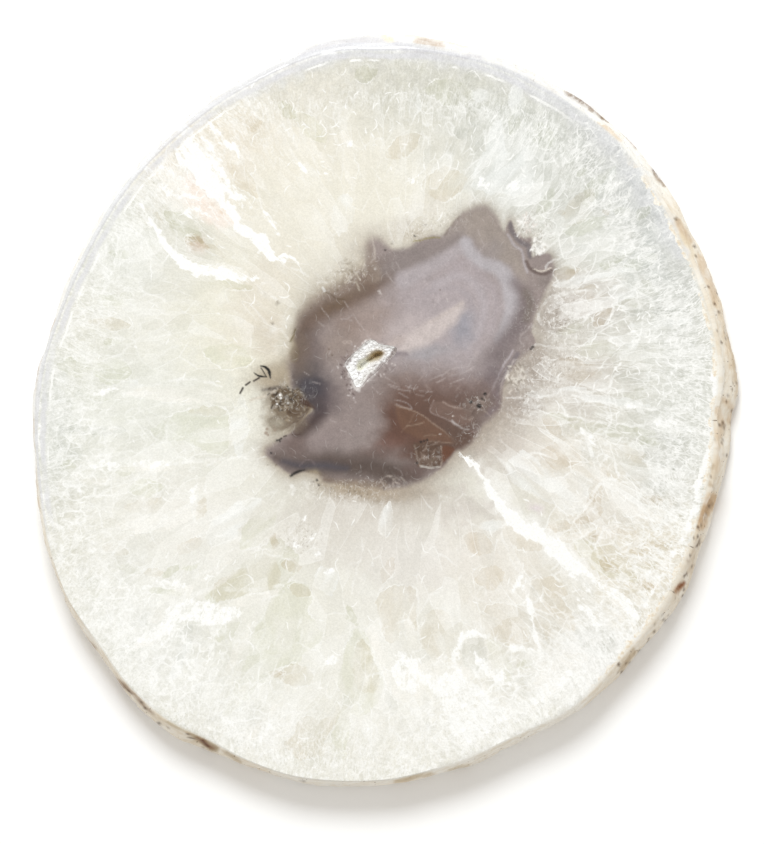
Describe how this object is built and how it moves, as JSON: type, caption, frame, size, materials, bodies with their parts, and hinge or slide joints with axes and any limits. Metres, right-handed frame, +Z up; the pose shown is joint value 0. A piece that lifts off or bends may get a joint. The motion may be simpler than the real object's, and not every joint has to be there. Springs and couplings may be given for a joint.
{
  "type": "agate slice",
  "caption": "Oval slab sawn from an agate nodule, flat and polished above and below, with a rough stony side and a small hollow lined with crystals; lies flat as a coaster or display stone.",
  "frame": {"origin": "middle of the slice's box, on the surface that it lies on", "axes": "+Z up, out of the polished face with the hollow; +Y towards the far side, which is the top of the picture; +X to the right"},
  "size_m": [0.1034, 0.1102, 0.006],
  "materials": {
    "polished_agate": "polished",
    "white_druse": "satin"
  },
  "bodies": {
    "root": {"agate_slice": "polished_agate", "druse_crust": "white_druse"}
  },
  "joints": []
}
